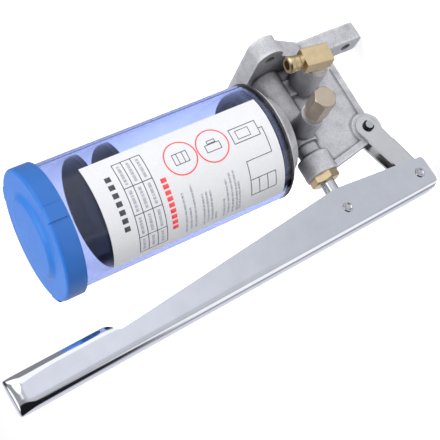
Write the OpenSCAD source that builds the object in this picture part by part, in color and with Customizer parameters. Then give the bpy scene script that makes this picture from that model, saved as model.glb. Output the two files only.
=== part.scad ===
// Manual grease pump: a clear reservoir on a cast body, worked by a long hand lever.
// X points to the ports, -Y to the lever, +Z up to the reservoir's cap.
// The origin lies midway between the two ear holes, on the face that meets the wall.
// Sizes are in millimetres. A "reach" is measured out from the wall, a "drop" down from the ear holes.

/* [Reservoir tube] */
// Outside diameter of the clear tube
tube_od = 76; // [66:1:86]
// Wall of the clear tube
tube_wall = 3; // [2:0.5:4]
// Length of the clear tube
tube_length = 149; // [128:1:190]
// Reach of the tube's axis
tube_reach = 50; // [46:1:56]
// Height of the tube's lower end above the ear holes
tube_rise = 24; // [22:0.5:32]
// Thickness of the gasket under the tube
gasket_thickness = 1.4; // [0.8:0.1:2.4]
// How far the gasket stands out past the tube
gasket_lip = 0.2; // [0.1:0.1:1]

/* [Reservoir cap] */
// Wall of the cap's skirt
cap_wall = 2.3; // [1.5:0.1:4]
// Thickness of the cap's top
cap_top = 3.5; // [2.5:0.1:6]
// Length of tube that the skirt covers
cap_skirt = 9; // [6:0.5:14]
// Number of grip lugs on the skirt
cap_lugs = 3; // [2:1:8]
// Arc that each grip lug covers, in degrees
cap_lug_arc = 13.5; // [6:0.5:24]
// Turn of the first grip lug, in degrees from +X
cap_lug_turn = -6.75; // [-60:0.25:60]
// Height of a grip lug above the skirt
cap_lug_height = 1.3; // [0.4:0.1:2]
// Radius of the shallow dish in the top
cap_dish_radius = 27; // [15:0.5:29]
// Depth of that dish
cap_dish_depth = 1; // [0.4:0.1:1.5]

/* [Label] */
// Arc of tube that the label covers, in degrees
label_wrap = 103; // [60:1:160]
// Turn of the label's first edge, in degrees from +X
label_turn = -81; // [-120:1:0]
// Height of the label
label_height = 117; // [60:1:118]
// Bare tube below the label
label_margin = 5.4; // [3:0.1:8]
// Thickness of the label
label_thickness = 0.2; // [0.1:0.05:0.4]

/* [Follower] */
// Height of the follower
follower_height = 23; // [16:0.5:26]
// Height of the follower above the tube's lower end
follower_rise = 95; // [20:1:105]
// Thickness of each follower disc at its edge
follower_disc = 3; // [2:0.25:5]
// Radius of the follower's waist
follower_waist = 13; // [8:0.5:20]

/* [Wall plate] */
// Thickness of the wall plate
plate_thickness = 12.5; // [9:0.5:14]
// Distance between the two ear holes
ear_spacing = 52; // [46:1:64]
// Radius of each ear
ear_radius = 9.5; // [8:0.25:10]
// Diameter of the three mounting holes
mount_hole_d = 7; // [5:0.5:8]
// Width of the plate's stem
stem_width = 16; // [13:0.5:20]
// Drop of the shoulder where the plate narrows to its stem
shoulder_drop = 35.5; // [30:0.5:45]
// Drop of the lower mounting hole
lower_hole_drop = 71; // [68:0.5:80]
// Plate below the lower mounting hole
stem_toe = 10.8; // [7:0.1:12]

/* [Pump barrel] */
// Drop of the plunger's axis
plunger_drop = 4.5; // [3:0.25:7]
// Diameter of the plunger rod
rod_d = 9.5; // [8:0.25:10.5]
// Wall of the barrel round the plunger
barrel_wall = 4.2; // [3:0.1:5]
// Wall of the neck in front of the barrel
neck_wall = 2.2; // [1.8:0.1:3]
// Length of the neck
neck_length = 8; // [4:0.5:9]
// Reach of the gland boss's outer face
gland_reach = 87.2; // [86:0.2:92]
// Length of the gland boss
gland_boss_length = 14.2; // [13:0.2:16]
// Wall of the gland boss
gland_wall = 3.5; // [2.5:0.1:4]
// Wall of the packing round the rod
packing_wall = 2.5; // [2:0.1:3]
// Length of the packing
packing_length = 5; // [4:0.25:6]
// Thickness of the washer behind the packing
gland_washer_thickness = 1.5; // [1:0.1:2]
// Width across the flats of the gland nut
gland_nut_flats = 17; // [16.5:0.1:19]
// Thickness of the gland nut's head
gland_nut_head = 4.8; // [4:0.1:6]

/* [Web] */
// Drop of the web's lower edge
web_drop = 54; // [50:0.5:56]
// Thickness of the web's panel
web_panel = 5; // [4:0.25:6]
// Thickness of the web's raised rim
web_rim = 6.5; // [6:0.25:8]
// Width of that rim
rim_width = 4; // [3:0.25:5]
// Radius of the lug that carries the link
lug_radius = 10.5; // [9.5:0.25:12]

/* [Ports] */
// Reach of the side plug
side_plug_reach = 56.2; // [53:0.2:60]
// Drop of the side plug
side_plug_drop = 5.5; // [4:0.25:6.5]
// Diameter of the side plug's boss
side_boss_d = 15.5; // [14.5:0.25:18]
// Distance of the side boss's face from the mid plane
side_boss_face = 28; // [24:0.5:32]
// Width across the flats of the side plug's hex
side_plug_flats = 13; // [11:0.25:14]
// Length of that hex
side_plug_hex = 17.5; // [10:0.5:22]
// Reach of the outlet
outlet_reach = 26.5; // [25:0.5:30]
// Drop of the outlet
outlet_drop = 25; // [23:0.5:28]
// Diameter of the outlet's boss
outlet_boss_d = 19; // [17.5:0.5:21]
// Distance of the outlet boss's face from the mid plane
outlet_boss_face = 30; // [27:0.5:33]
// Width of the elbow's block
elbow_width = 12.8; // [12.2:0.2:15]
// Thickness of the elbow's block
elbow_depth = 9.5; // [9:0.1:11]
// Length of the elbow's block
elbow_length = 19; // [16:0.5:22]
// Length of the elbow's nose
elbow_nose = 10.5; // [9:0.25:14]
// Turn of the elbow towards the wall, in degrees
elbow_turn = 6; // [0:1:12]
// Diameter of the pipe socket in the elbow's nose
pipe_socket_d = 6.2; // [5:0.1:7]

/* [Linkage] */
// Distance between the link's two pivots
link_length = 44.5; // [42:0.25:47]
// Angle by which the link hangs, in degrees
link_droop = 15.9; // [12:0.1:20]
// Thickness of the link's sheet
link_sheet = 1.8; // [1.5:0.1:2.5]
// Radius of the link's arms round the fixed pivot
link_arm_radius = 7.6; // [6.8:0.1:8]
// Distance from the fixed pivot to the link's back web
link_web_start = 16.4; // [15:0.2:20]
// Diameter of the link's pin
pin_d = 5.2; // [4.6:0.1:6]
// Diameter of the two lever rivets
rivet_d = 6; // [5:0.1:6.4]

/* [Lever] */
// Distance from the gland boss's face to the plunger's eye
eye_stand = 26.5; // [25:0.25:30]
// Height of the lever's rivet above the plunger's axis
rivet_rise = 1.2; // [0:0.1:1.6]
// Radius of the plunger's eye
eye_radius = 7.6; // [7.2:0.1:8.5]
// Distance between the lever's two rivets, along the lever
rivet_span = 58.25; // [56:0.25:60]
// How far the lower rivet lies back from the upper one
rivet_setback = 2.5; // [1.5:0.1:3.5]
// Tilt of the lever away from the tube, in degrees
lever_tilt = 2.75; // [1:0.25:5]
// Thickness of the lever's sheet
lever_sheet = 2.3; // [1.6:0.1:2.6]
// Distance from the eye to the lever's back
lever_back = 14.6; // [14:0.1:18]
// Height of the side walls above the eye
lever_crest = 14; // [12:0.25:16]
// Height of the side walls above the lower rivet
lever_toe_height = 9; // [8:0.25:11]
// Length of lever past the lower rivet
lever_toe = 8.4; // [8:0.1:12]
// Outer radius of the lever's bends
lever_bend = 6; // [4:0.25:7]
// Distance from the eye to the grip
grip_start = 163.8; // [140:0.2:180]
// Depth of the channel where the grip starts
grip_throat = 14.8; // [13:0.1:17]
// Length of the grip
grip_length = 68.5; // [55:0.5:100]
// Depth of the grip
grip_depth = 21.8; // [19:0.2:25]
// Width of the seam along the grip
grip_seam = 4.5; // [2:0.25:5]

/* [Clearances] */
// Radial play of a pin or rod in its hole
running_play = 0.05; // [0.02:0.01:0.1]
// Radial play of a piece that is screwed or set in place
set_play = 0.04; // [0.02:0.01:0.1]
// Gap between sheets that slide on each other
sheet_gap = 0.35; // [0.3:0.05:0.6]
// Gap between the link and the lever's side walls
lever_gap = 0.6; // [0.3:0.05:1]
// Gap round pieces that slide in or over the tube
tube_gap = 0.3; // [0.2:0.05:0.5]
// Play of the rivet along the slot in the plunger's eye
slot_play = 1.6; // [1.3:0.1:2]
// Play of that rivet across the slot
slot_side_play = 0.6; // [0.5:0.05:0.8]

/* [Hidden] */
$fn = 64;
tiny = 0.01;
cut_past = 1;

cast_grey = "#b4b4b8";
steel_grey = "#c9ccd2";
brass_tan = "#cfae72";
cap_blue = "#3f7fd6";
tube_tint = [0.45, 0.52, 0.86, 0.45];
label_white = "#eef0f5";
rubber_black = "#26262a";

// Reservoir, all round the tube's own axis
tube_r = tube_od / 2;
bore_r = tube_r - tube_wall;
tube_top = tube_rise + tube_length;
seat_z = tube_rise - gasket_thickness;
flange_r = tube_r - 1.5;
flange_thickness = 1.8;
collar_r = flange_r - 5;
collar_height = 6;
throat_r = collar_r - 5.5;
throat_height = 12;
cone_foot = 2;
collar_bevel = 1.5;
funnel_depth = 6;
spigot_r = bore_r - 0.15;
spigot_wall = 5;
spigot_top = tube_rise + 10;
spigot_lead = 1.2;
o_ring_d = 2.4;
o_ring_z = tube_rise + 5;
o_ring_groove = 3.2;
inlet_r = 4;
funnel_floor_r = inlet_r + 2;
cap_r = tube_r + tube_gap + cap_wall;
cap_seat = tube_top + tube_gap;
cap_edge = 2;
cap_foot_edge = 0.6;
cap_lug_foot = 0.9;

// Plate, barrel and gland, along the plunger's axis
stem_corner = 3.5;
rim_corner = rim_width * 0.4;
plunger_z = -plunger_drop;
rod_r = rod_d / 2;
rod_hole_r = rod_r + running_play;
barrel_r = rod_hole_r + barrel_wall;
cone_foot_r = barrel_r - 1.3;
neck_r = rod_hole_r + neck_wall;
chamber_r = rod_r + packing_wall;
gland_boss_r = chamber_r + gland_wall;
gland_boss_start = gland_reach - gland_boss_length;
neck_start = gland_boss_start - neck_length;
chamber_floor = gland_boss_start + 1.5;
packing_start = chamber_floor + gland_washer_thickness;
gland_stem_start = packing_start + packing_length;
bore_end = plate_thickness + 2;
rod_end = bore_end + 9;
rod_tip = 1;

// Side plug, along X
side_washer = 1.2;
side_washer_lip = 1.4;
side_collar = 2.3;
side_stem_r = 5;
side_stem_length = 14;
side_port_r = 2.5;
side_collar_r = side_plug_flats / 2 + 0.2;
side_collar_start = side_boss_face + side_washer;
side_hex_start = side_collar_start + side_collar;

// Outlet and its check valve, along X
elbow_stem_r = 6;
elbow_stem_length = 14;
elbow_gap = 2;
elbow_mid = outlet_boss_face + elbow_gap + elbow_depth / 2;
elbow_stem_end = outlet_boss_face - elbow_stem_length;
elbow_foot = elbow_width / 2;
elbow_top = elbow_length - elbow_foot;
elbow_passage_r = 2.2;
elbow_edge = 0.6;
nose_neck_r = pipe_socket_d / 2 + 1.3;
nose_collar_r = pipe_socket_d / 2 + 2.3;
nose_waist_r = nose_collar_r - 0.4;
nose_socket_depth = elbow_nose - 2.5;
ball_r = 3.5;
ball_lift_gap = 0.15;
seat_r = 2.4;
seat_x = 5;
ball_x = seat_x + sqrt(ball_r ^ 2 - seat_r ^ 2) + ball_lift_gap;
valve_r = 4.6;
spring_pocket_r = 3.9;
spring_pocket = 8;
spring_wire_r = 0.45;
spring_r = 2.6;
spring_turns = 7;
spring_start = ball_x + sqrt(ball_r ^ 2 - spring_r ^ 2) + spring_wire_r + 0.4;
spring_end = elbow_stem_end + spring_pocket - spring_wire_r - 0.1;
outlet_back = 7;
outlet_duct_r = 2.2;
outlet_rib = 11;

// Linkage in [y, z]: C is the lever's rivet in the plunger's eye, B joins lever and link, A is the link's fixed pivot;
// lever_b is B in the lever's own frame
eye_reach = gland_reach + eye_stand;
eye_centre = [-eye_reach, plunger_z];
pivot_c = eye_centre + [0, rivet_rise];
lever_b = [-rivet_setback, -rivet_span];
pivot_b = pivot_c + [
    lever_b.x * cos(lever_tilt) - lever_b.y * sin(lever_tilt),
    lever_b.x * sin(lever_tilt) + lever_b.y * cos(lever_tilt)
];
pivot_a = pivot_b + link_length * [cos(link_droop), sin(link_droop)];
pin_r = pin_d / 2;
rivet_r = rivet_d / 2;
lug_half = web_rim / 2;
link_inner = lug_half + sheet_gap;
link_half = link_inner + link_sheet;
link_bend = link_sheet + 1;
link_arm_rise = 0.9;
link_back = link_arm_radius + 0.7;
link_end_r = link_back - 0.9;
circlip_thickness = 0.8;
circlip_r = pin_r + 1.1;
circlip_mouth = 50;
groove_r = pin_r - 0.6;
circlip_start = link_half + sheet_gap;
pin_half = circlip_start + circlip_thickness + 1.1;

// Lever, in its own frame: origin at C, z along the lever, y towards the tube
lever_inner = link_half + lever_gap;
lever_half = lever_inner + lever_sheet;
lever_foot = lever_b.y - lever_toe;
lever_corner = 5;
lever_crest_r = 60;
grip_throat_y = grip_throat - lever_back;
grip_front = grip_depth - lever_back;
grip_end = grip_start + grip_length;
grip_corner = 5;
grip_end_edge = 3;
grip_curl = min(lever_half - grip_seam / 2, 6);
grip_flange_run = 10;
grip_flange_r = 9;
rivet_head = 0.8;
rivet_head_r = rivet_r + 0.5;
rivet_dimple = 0.5;
eye_half = rod_r - 0.2;
rod_head = eye_reach - 2;

function unit(v) = v / norm(v);
function point_at(corners, i) = let (c = corners[(i + len(corners)) % len(corners)]) [c.x, c.y];
function side_from(corners, i, step) = unit(point_at(corners, i + step) - point_at(corners, i));
function half_angle(corners, i) = acos(side_from(corners, i, -1) * side_from(corners, i, 1)) / 2;
function tangent_point(corners, i, step) =
    point_at(corners, i) + side_from(corners, i, step) * corners[i].z / tan(half_angle(corners, i));
function arc_centre(corners, i) =
    point_at(corners, i)
    + unit(side_from(corners, i, -1) + side_from(corners, i, 1)) * corners[i].z / sin(half_angle(corners, i));

// Convex outline from [x, y, radius] corners, with a true arc at each corner that has a radius.
module rounded_outline(corners) {
    polygon([
        for (i = [0 : len(corners) - 1])
            each corners[i].z > 0
                ? [tangent_point(corners, i, -1), tangent_point(corners, i, 1)]
                : [point_at(corners, i)]
    ]);
    for (i = [0 : len(corners) - 1])
        if (corners[i].z > 0)
            translate(arc_centre(corners, i)) circle(corners[i].z);
}

// Outline in [y, z], made solid along X about the mid plane.
module across(width) {
    rotate([90, 0, 90]) linear_extrude(width, center = true) children();
}

// Cylinder along X from x0 to x1, round the point [y, z].
module round_x(at, r, x0, x1) {
    translate([x0, at.x, at.y]) rotate([0, 90, 0]) cylinder(r = r, h = x1 - x0);
}

// Cylinder along -Y on the plunger's axis, between two reaches.
module round_plunger(r, from, to) {
    translate([0, -from, plunger_z]) rotate([90, 0, 0]) cylinder(r = r, h = to - from);
}

// Solid turned round the tube's axis from an outline in [radius, z], with its seam clear of the cap's lugs.
module round_tube() {
    translate([0, -tube_reach, 0]) rotate([0, 0, cap_lug_turn + 180 / cap_lugs]) rotate_extrude() children();
}

// Hexagonal head along +Z with its outer corners turned off.
module hex_head(flats, height) {
    corner_r = flats / 2 / cos(30);
    bevel = corner_r - flats / 2;
    intersection() {
        cylinder(r = corner_r, h = height, $fn = 6);
        rotate_extrude() polygon([
            [0, 0], [corner_r, 0], [corner_r, height - bevel * 0.6], [corner_r - bevel, height], [0, height]
        ]);
    }
}

// Straight rim on the web, between two points in [y, z] and half its width past each.
module rim_bar(from, to) {
    run = to - from;
    half = rim_width / 2;
    across(web_rim) translate(from) rotate(atan2(run.y, run.x)) rounded_outline([
        [-half, -half, rim_corner], [norm(run) + half, -half, rim_corner],
        [norm(run) + half, half, rim_corner], [-half, half, rim_corner]
    ]);
}

module wall_plate() {
    ear_x = ear_spacing / 2;
    stem_end = -lower_hole_drop - stem_toe;
    rotate([90, 0, 0]) linear_extrude(plate_thickness) {
        for (side = [-1, 1])
            translate([side * ear_x, 0]) circle(ear_radius);
        polygon([
            [-ear_x, ear_radius], [ear_x, ear_radius], [ear_x, -ear_radius],
            [stem_width / 2, -shoulder_drop], [-stem_width / 2, -shoulder_drop], [-ear_x, -ear_radius]
        ]);
        rounded_outline([
            [-stem_width / 2, 0, 0], [-stem_width / 2, stem_end, stem_corner],
            [stem_width / 2, stem_end, stem_corner], [stem_width / 2, 0, 0]
        ]);
    }
}

module reservoir_seat() {
    round_tube() difference() {
        polygon([
            [0, plunger_z], [cone_foot_r, plunger_z], [cone_foot_r, cone_foot], [throat_r, seat_z - throat_height],
            [collar_r - collar_bevel, seat_z - collar_height], [collar_r, seat_z - collar_height + collar_bevel],
            [collar_r, seat_z - flange_thickness], [flange_r, seat_z - flange_thickness], [flange_r, seat_z],
            [spigot_r, seat_z], [spigot_r, spigot_top - spigot_lead], [spigot_r - spigot_lead, spigot_top],
            [spigot_r - spigot_wall, spigot_top], [spigot_r - spigot_wall, seat_z],
            [funnel_floor_r, seat_z - funnel_depth], [0, seat_z - funnel_depth]
        ]);
        translate([spigot_r - o_ring_d, o_ring_z - o_ring_groove / 2]) square([o_ring_d + cut_past, o_ring_groove]);
    }
}

module barrel() {
    round_plunger(barrel_r, plate_thickness / 2, neck_start);
    round_plunger(neck_r, neck_start - cut_past, gland_boss_start + cut_past);
    translate([0, 0, plunger_z]) rotate([90, 0, 0]) rotate_extrude() rounded_outline([
        [0, gland_boss_start, 0], [gland_boss_r, gland_boss_start, 1.5],
        [gland_boss_r, gland_reach, 0.8], [0, gland_reach, 0]
    ]);
}

module web() {
    rim_z = -web_drop + rim_width / 2;
    lug_edge = pivot_a + lug_radius * 0.85 * [-cos(30), sin(30)];
    gland_edge = [-gland_reach + rim_width / 2 + 1, plunger_z - gland_boss_r + 1];
    across(web_panel) polygon([
        [-plate_thickness / 2, plunger_z], [-plate_thickness / 2, rim_z], [pivot_a.x, rim_z],
        lug_edge, gland_edge, [gland_edge.x, plunger_z]
    ]);
    rim_bar([-plate_thickness / 2, rim_z], [pivot_a.x, rim_z]);
    rim_bar(lug_edge, gland_edge);
    round_x(pivot_a, lug_radius, -lug_half, lug_half);
}

module side_boss() {
    round_x([-side_plug_reach, -side_plug_drop], side_boss_d / 2, 0, side_boss_face);
}

module outlet_boss() {
    round_x([-outlet_reach, -outlet_drop], outlet_boss_d / 2, -outlet_back, outlet_boss_face);
    translate([-outlet_rib / 2, -outlet_reach - outlet_rib / 2, -outlet_drop])
        cube([outlet_rib, outlet_rib, outlet_drop - plunger_drop]);
}

module body_passages() {
    round_plunger(rod_hole_r, bore_end, gland_reach);
    round_plunger(chamber_r + set_play, chamber_floor, gland_reach + cut_past);
    translate([0, -tube_reach, plunger_z]) cylinder(r = inlet_r, h = seat_z - plunger_z);
    side = [-side_plug_reach, -side_plug_drop];
    round_x(side, side_port_r, 0, side_boss_face);
    round_x(side, side_stem_r + set_play, side_boss_face - side_stem_length - 1, side_boss_face + cut_past);
    outlet = [-outlet_reach, -outlet_drop];
    round_x(outlet, seat_r, 0, outlet_boss_face);
    round_x(outlet, valve_r, seat_x, outlet_boss_face);
    round_x(outlet, elbow_stem_r + set_play, elbow_stem_end - 0.5, outlet_boss_face + cut_past);
    translate([0, -outlet_reach, -outlet_drop]) cylinder(r = outlet_duct_r, h = outlet_drop - plunger_drop);
}

module mounting_holes() {
    for (at = [[-ear_spacing / 2, 0], [ear_spacing / 2, 0], [0, -lower_hole_drop]])
        translate([at.x, cut_past, at.y]) rotate([90, 0, 0])
            cylinder(d = mount_hole_d, h = plate_thickness + 2 * cut_past);
}

module pump_body() {
    color(cast_grey) difference() {
        union() {
            wall_plate();
            barrel();
            reservoir_seat();
            web();
            side_boss();
            outlet_boss();
        }
        body_passages();
        mounting_holes();
        round_x(pivot_a, pin_r + running_play, -web_rim, web_rim);
    }
}

module reservoir_tube() {
    color(tube_tint) round_tube()
        translate([bore_r, tube_rise]) square([tube_wall, tube_length]);
}

module base_gasket() {
    inner = spigot_r + set_play;
    color(rubber_black) round_tube()
        translate([inner, seat_z]) square([tube_r + gasket_lip - inner, gasket_thickness]);
}

module spigot_o_ring() {
    section_r = (bore_r - spigot_r + o_ring_d) / 2 - set_play;
    color(rubber_black) round_tube()
        translate([bore_r - section_r - set_play, o_ring_z]) circle(section_r);
}

module label() {
    color(label_white) translate([0, -tube_reach, 0]) rotate([0, 0, label_turn])
        rotate_extrude(angle = label_wrap)
            translate([tube_r + set_play, tube_rise + label_margin]) square([label_thickness, label_height]);
}

// Half section of the cap's outside, from an inner radius out to r and up from foot.
module cap_section(inner, r, foot) {
    rounded_outline([
        [inner, foot, 0], [r, foot, cap_foot_edge], [r, cap_seat + cap_top, cap_edge], [inner, cap_seat + cap_top, 0]
    ]);
}

module reservoir_cap() {
    foot = tube_top - cap_skirt;
    top = cap_seat + cap_top;
    color(cap_blue) difference() {
        union() {
            round_tube() cap_section(0, cap_r, foot);
            for (i = [0 : cap_lugs - 1])
                translate([0, -tube_reach, 0])
                    rotate([0, 0, cap_lug_turn - cap_lug_arc / 2 + i * 360 / cap_lugs])
                        rotate_extrude(angle = cap_lug_arc)
                            cap_section(cap_r - cap_wall / 2, cap_r + cap_lug_height, foot + cap_lug_foot);
        }
        round_tube() translate([0, foot - cut_past])
            square([tube_r + tube_gap, cap_seat - tube_top + cap_skirt + cut_past]);
        round_tube() polygon([
            [0, top - cap_dish_depth], [cap_dish_radius - 2, top - cap_dish_depth],
            [cap_dish_radius, top + tiny], [0, top + tiny]
        ]);
    }
}

module follower() {
    lip_r = bore_r - tube_gap;
    foot = tube_rise + follower_rise;
    head = foot + follower_height;
    slope = follower_disc * 0.6;
    color(rubber_black) round_tube() polygon([
        [0, foot], [lip_r, foot], [lip_r, foot + follower_disc],
        [follower_waist, foot + follower_disc + slope],
        [follower_waist, head - follower_disc - slope],
        [lip_r, head - follower_disc], [lip_r, head], [lip_r - 2, head],
        [follower_waist, head - follower_disc], [0, head - follower_disc]
    ]);
}

module gland_nut() {
    color(brass_tan) difference() {
        union() {
            translate([0, -gland_reach, plunger_z]) rotate([90, 0, 0]) hex_head(gland_nut_flats, gland_nut_head);
            round_plunger(chamber_r, gland_stem_start, gland_reach);
        }
        round_plunger(rod_hole_r, gland_stem_start - cut_past, gland_reach + gland_nut_head + cut_past);
    }
}

// Ring round the plunger rod inside the gland, between two reaches.
module gland_ring(from, to) {
    difference() {
        round_plunger(chamber_r, from, to);
        round_plunger(rod_hole_r, from - cut_past, to + cut_past);
    }
}

module gland_packing() {
    color(rubber_black) gland_ring(packing_start, gland_stem_start);
}

module gland_washer() {
    color(steel_grey) gland_ring(chamber_floor, packing_start);
}

module plunger_rod() {
    color(steel_grey) difference() {
        union() {
            translate([0, 0, plunger_z]) rotate([90, 0, 0]) rotate_extrude() polygon([
                [0, rod_end], [rod_r - rod_tip, rod_end], [rod_r, rod_end + rod_tip],
                [rod_r, rod_head], [0, rod_head]
            ]);
            round_x(eye_centre, eye_radius, -eye_half, eye_half);
        }
        across(2 * rod_d) translate(pivot_c) rounded_outline([
            [-rivet_r - slot_side_play, -rivet_r - slot_play, rivet_r],
            [rivet_r + slot_side_play, -rivet_r - slot_play, rivet_r],
            [rivet_r + slot_side_play, rivet_r + slot_play, rivet_r],
            [-rivet_r - slot_side_play, rivet_r + slot_play, rivet_r]
        ]);
    }
}

module side_plug() {
    at = [-side_plug_reach, -side_plug_drop];
    color(brass_tan) {
        round_x(at, side_stem_r, side_boss_face - side_stem_length, side_collar_start + tiny);
        round_x(at, side_collar_r, side_collar_start, side_hex_start + tiny);
        translate([side_hex_start, at.x, at.y]) rotate([0, 90, 0]) hex_head(side_plug_flats, side_plug_hex);
    }
}

module side_plug_washer() {
    at = [-side_plug_reach, -side_plug_drop];
    color(steel_grey) difference() {
        round_x(at, side_stem_r + side_washer_lip, side_boss_face, side_collar_start);
        round_x(at, side_stem_r + set_play, side_boss_face - cut_past, side_collar_start + cut_past);
    }
}

// Puts the elbow's own frame on the outlet's axis: x out of the boss, z along the nose.
module at_elbow() {
    translate([0, -outlet_reach, -outlet_drop]) rotate([-elbow_turn, 0, 0]) children();
}

module elbow_nose_outline() {
    polygon([
        [0, 0], [nose_neck_r, 0], [nose_neck_r, elbow_nose * 0.2], [nose_waist_r, elbow_nose * 0.3],
        [nose_waist_r, elbow_nose * 0.58], [nose_collar_r, elbow_nose * 0.7],
        [nose_collar_r, elbow_nose * 0.88], [nose_collar_r - 0.8, elbow_nose], [0, elbow_nose]
    ]);
}

module outlet_elbow() {
    deep = elbow_depth / 2;
    wide = elbow_width / 2;
    color(brass_tan) at_elbow() difference() {
        union() {
            translate([elbow_mid, 0, -elbow_foot]) linear_extrude(elbow_length) rounded_outline([
                [-deep, -wide, elbow_edge], [deep, -wide, elbow_edge],
                [deep, wide, elbow_edge], [-deep, wide, elbow_edge]
            ]);
            round_x([0, 0], elbow_stem_r, elbow_stem_end, elbow_mid);
            translate([elbow_mid, 0, elbow_top]) rotate_extrude() elbow_nose_outline();
        }
        round_x([0, 0], elbow_passage_r, elbow_stem_end - cut_past, elbow_mid);
        round_x([0, 0], spring_pocket_r, elbow_stem_end - cut_past, elbow_stem_end + spring_pocket);
        translate([elbow_mid, 0, 0]) cylinder(r = elbow_passage_r, h = elbow_top + elbow_nose);
        translate([elbow_mid, 0, elbow_top + elbow_nose - nose_socket_depth])
            cylinder(d = pipe_socket_d, h = nose_socket_depth + cut_past);
    }
}

module check_ball() {
    color(steel_grey) translate([ball_x, -outlet_reach, -outlet_drop]) sphere(ball_r);
}

// Coil along X: rings of wire points round a helix, joined into one closed skin.
module check_spring() {
    steps = 14;
    sides = 6;
    rings = spring_turns * steps;
    pitch = (spring_end - spring_start) / rings;
    points = [
        for (i = [0 : rings])
            let (turn = 360 * i / steps)
            for (j = [0 : sides - 1])
                let (r = spring_r + spring_wire_r * cos(360 * j / sides))
                [spring_start + pitch * i + spring_wire_r * sin(360 * j / sides), r * cos(turn), r * sin(turn)]
    ];
    skin = [
        for (i = [0 : rings - 1])
            for (j = [0 : sides - 1])
                let (next = (j + 1) % sides)
                [i * sides + j, i * sides + next, (i + 1) * sides + next, (i + 1) * sides + j]
    ];
    ends = [[for (j = [sides - 1 : -1 : 0]) j], [for (j = [0 : sides - 1]) rings * sides + j]];
    color(steel_grey) translate([0, -outlet_reach, -outlet_drop]) polyhedron(points, concat(skin, ends));
}

// Puts the link's own frame on pivot A, with pivot B along its -y.
module at_link() {
    translate([0, pivot_a.x, pivot_a.y]) rotate([link_droop, 0, 0]) children();
}

// U section of the link in [x, z], open at the top.
module link_section(half, back, bend) {
    rounded_outline([
        [-half, -back, bend], [half, -back, bend], [half, 3 * link_back, 0], [-half, 3 * link_back, 0]
    ]);
}

module link_side() {
    arm_foot = link_arm_rise - link_arm_radius;
    end_mid = link_end_r - link_back;
    translate([0, link_arm_rise]) circle(link_arm_radius);
    translate([-link_length, end_mid]) circle(link_end_r);
    polygon([
        [0, link_arm_rise + link_arm_radius], [-link_length, end_mid + link_end_r], [-link_length, -link_back],
        [-link_web_start, -link_back], [-link_web_start, arm_foot], [0, arm_foot]
    ]);
}

module link() {
    reach = link_length + 3 * link_back;
    color(steel_grey) at_link() difference() {
        intersection() {
            translate([0, link_length, 0]) rotate([90, 0, 0]) linear_extrude(2 * reach) difference() {
                link_section(link_half, link_back, link_bend);
                link_section(link_inner, link_back - link_sheet, link_bend - link_sheet);
            }
            across(4 * link_half) link_side();
        }
        translate([-link_inner, -link_web_start, -2 * link_back]) cube([2 * link_inner, reach, 4 * link_back]);
        round_x([0, 0], pin_r + running_play, -2 * link_half, 2 * link_half);
        round_x([-link_length, 0], rivet_r + running_play, -2 * link_half, 2 * link_half);
    }
}

module link_pin() {
    color(steel_grey) difference() {
        round_x(pivot_a, pin_r, -pin_half, pin_half);
        for (side = [-1, 1])
            difference() {
                x = side * (circlip_start + circlip_thickness / 2);
                round_x(pivot_a, 2 * pin_r, x - circlip_thickness / 2 - set_play, x + circlip_thickness / 2 + set_play);
                round_x(pivot_a, groove_r, x - circlip_thickness, x + circlip_thickness);
            }
    }
}

module link_circlips() {
    mouth = 2 * circlip_r;
    color(rubber_black) for (side = [-1, 1])
        translate([side * (circlip_start + circlip_thickness / 2), 0, 0]) across(circlip_thickness)
            translate(pivot_a) difference() {
                circle(circlip_r);
                circle(groove_r + set_play);
                rotate(-60) polygon([
                    [0, 0], mouth * [cos(circlip_mouth), -sin(circlip_mouth)],
                    mouth * [cos(circlip_mouth), sin(circlip_mouth)]
                ]);
            }
}

// Puts the lever's own frame on pivot C.
module at_lever() {
    translate([0, pivot_c.x, pivot_c.y]) rotate([lever_tilt, 0, 0]) children();
}

// U section of the lever's channel in [x, y], open towards the tube.
module channel_section(inset) {
    half = lever_half - inset;
    back = -lever_back + inset;
    rounded_outline([
        [-half, back, lever_bend - inset], [half, back, lever_bend - inset],
        [half, 2 * lever_crest, 0], [-half, 2 * lever_crest, 0]
    ]);
}

module lever_channel() {
    intersection() {
        translate([0, 0, lever_foot]) linear_extrude(grip_start - lever_foot) difference() {
            channel_section(0);
            channel_section(lever_sheet);
        }
        across(4 * lever_half) rounded_outline([
            [-lever_back, lever_foot, lever_corner],
            [lever_b.x + lever_toe_height, lever_foot, lever_corner],
            [lever_crest, 0, lever_crest_r],
            [grip_throat_y, grip_start, 0],
            [-lever_back, grip_start, 0]
        ]);
    }
}

// Solid form of the grip, rounded at its far end; inset gives the hollow inside the sheet.
module grip_form(inset) {
    half = lever_half - inset;
    back = -lever_back + inset;
    front = grip_front - inset;
    end = grip_end - inset;
    corner = grip_corner - inset;
    edge = grip_end_edge - inset;
    intersection() {
        translate([0, 0, grip_start]) linear_extrude(grip_length) rounded_outline([
            [-half, back, lever_bend - inset], [half, back, lever_bend - inset],
            [half, front, grip_curl - inset], [-half, front, grip_curl - inset]
        ]);
        across(4 * lever_half) rounded_outline([
            [back, grip_start, 0], [grip_throat_y, grip_start, 0],
            [front, grip_start + grip_flange_run, grip_flange_r],
            [front, end, edge], [back, end, edge]
        ]);
        rotate([90, 0, 0]) linear_extrude(8 * lever_back, center = true) rounded_outline([
            [-half, grip_start, 0], [half, grip_start, 0], [half, end, corner], [-half, end, corner]
        ]);
    }
}

module lever_grip() {
    difference() {
        grip_form(0);
        grip_form(lever_sheet);
        translate([-grip_seam / 2, 0, grip_start]) cube([grip_seam, 2 * grip_depth, grip_length - grip_corner]);
    }
}

module lever() {
    color(steel_grey) at_lever() difference() {
        union() {
            lever_channel();
            lever_grip();
        }
        for (at = [[0, 0], lever_b])
            round_x(at, rivet_r + set_play, -2 * lever_half, 2 * lever_half);
    }
}

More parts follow.
